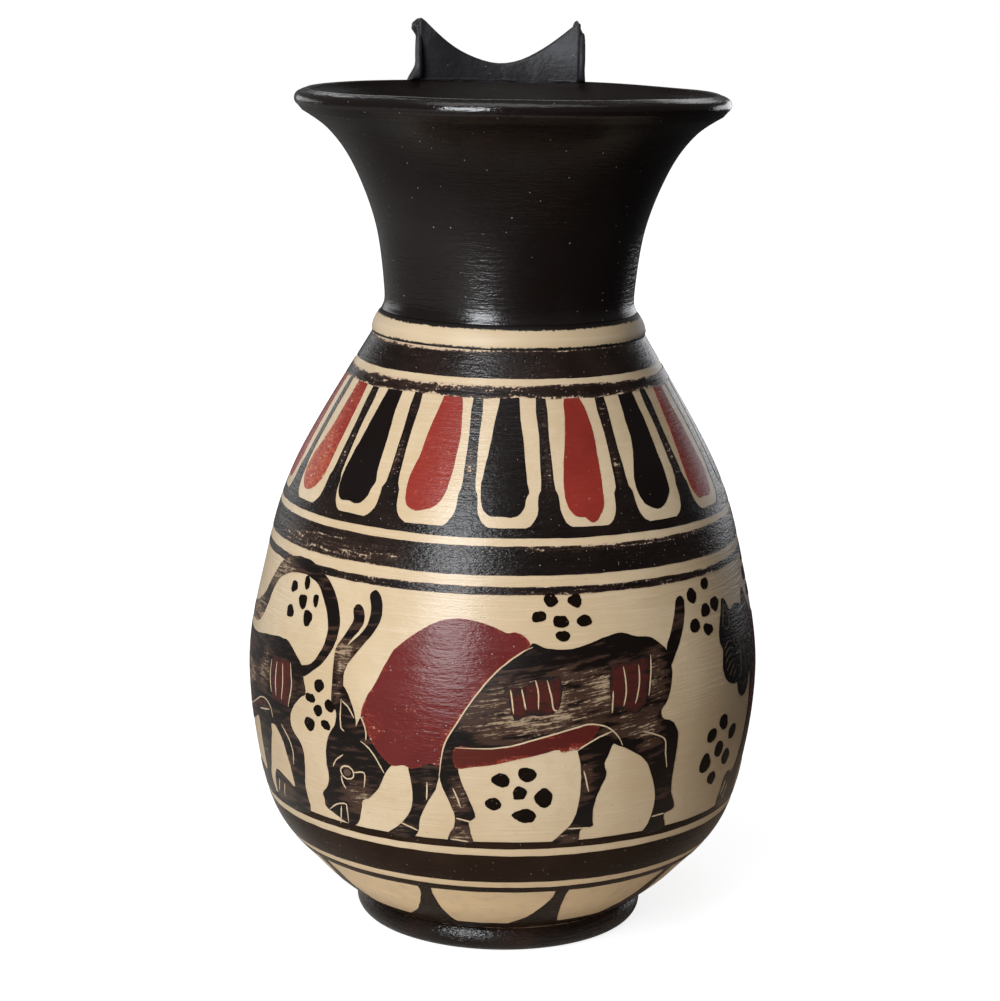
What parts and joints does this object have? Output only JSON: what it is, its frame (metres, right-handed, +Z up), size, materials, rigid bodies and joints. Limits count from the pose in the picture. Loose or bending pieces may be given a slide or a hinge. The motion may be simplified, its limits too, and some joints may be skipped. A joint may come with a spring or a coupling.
{
  "type": "pitcher",
  "caption": "Round-bellied clay pitcher with a flared mouth, a disc foot, a strap handle between two discs, and painted bands with an animal frieze.",
  "frame": {"origin": "centre of the foot's flat underside, on the axis that the pot was thrown about", "axes": "+Z up along the pot's axis, +Y towards the handle, -Y the painted front, +X to the right seen from the front"},
  "size_m": [0.1432, 0.1445, 0.2504],
  "materials": {
    "black_slip": "brown-black clay slip, burnished to a soft sheen, with fine wheel lines",
    "cream_slip": "cream clay slip, satin, with fine wheel lines and faint specks",
    "red_slip": "dark red clay slip, satin, brushed on over the black and the cream"
  },
  "bodies": {
    "root": {"foot": "black_slip", "body": "cream_slip", "collar_ring": "cream_slip", "neck": "black_slip", "handle_strap": "black_slip", "rotelle_left": "black_slip", "rotelle_right": "black_slip"}
  },
  "joints": []
}
